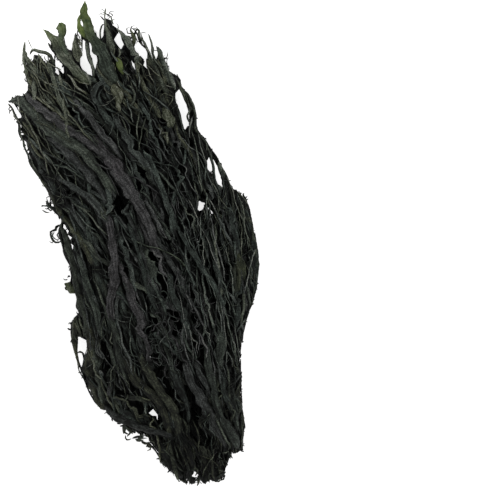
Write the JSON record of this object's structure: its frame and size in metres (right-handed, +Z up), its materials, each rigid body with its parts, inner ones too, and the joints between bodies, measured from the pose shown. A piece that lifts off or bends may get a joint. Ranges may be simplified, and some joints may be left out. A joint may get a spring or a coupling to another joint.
{
  "type": "dried seaweed bundle",
  "caption": "Loose sheaf of dried wakame fronds, near-black and crumpled, with long ribbons and strings that run from a folded foot to ragged tips.",
  "frame": {"origin": "on the table, under the middle of the sheaf's box", "axes": "+Z up, +Y along the sheaf from its folded foot to its ragged tips, +X across it"},
  "size_m": [0.1594, 0.393, 0.0371],
  "materials": {
    "dark_frond": "matt, wrinkled, near-black green",
    "olive_frond": "matt, wrinkled, dark olive",
    "green_blade": "thin, slightly translucent, yellow-green"
  },
  "bodies": {
    "root": {"frond_inner_1": "dark_frond", "frond_inner_2": "dark_frond", "frond_inner_3": "dark_frond", "frond_inner_4": "dark_frond", "frond_inner_5": "dark_frond", "frond_top_1": "olive_frond", "frond_top_2": "dark_frond", "frond_top_3": "dark_frond", "frond_top_4": "dark_frond", "frond_top_5": "dark_frond", "frond_under_1": "dark_frond", "frond_under_2": "dark_frond", "frond_under_3": "dark_frond", "frond_under_4": "dark_frond", "frond_under_5": "dark_frond", "frond_under_6": "dark_frond", "frond_upper_1": "dark_frond", "frond_upper_2": "dark_frond", "frond_upper_3": "olive_frond", "frond_upper_4": "dark_frond", "frond_upper_5": "dark_frond", "frond_upper_6": "olive_frond", "frond_upper_7": "dark_frond", "frond_upper_8": "dark_frond", "green_blade_1": "green_blade", "green_blade_2": "green_blade"}
  },
  "joints": []
}
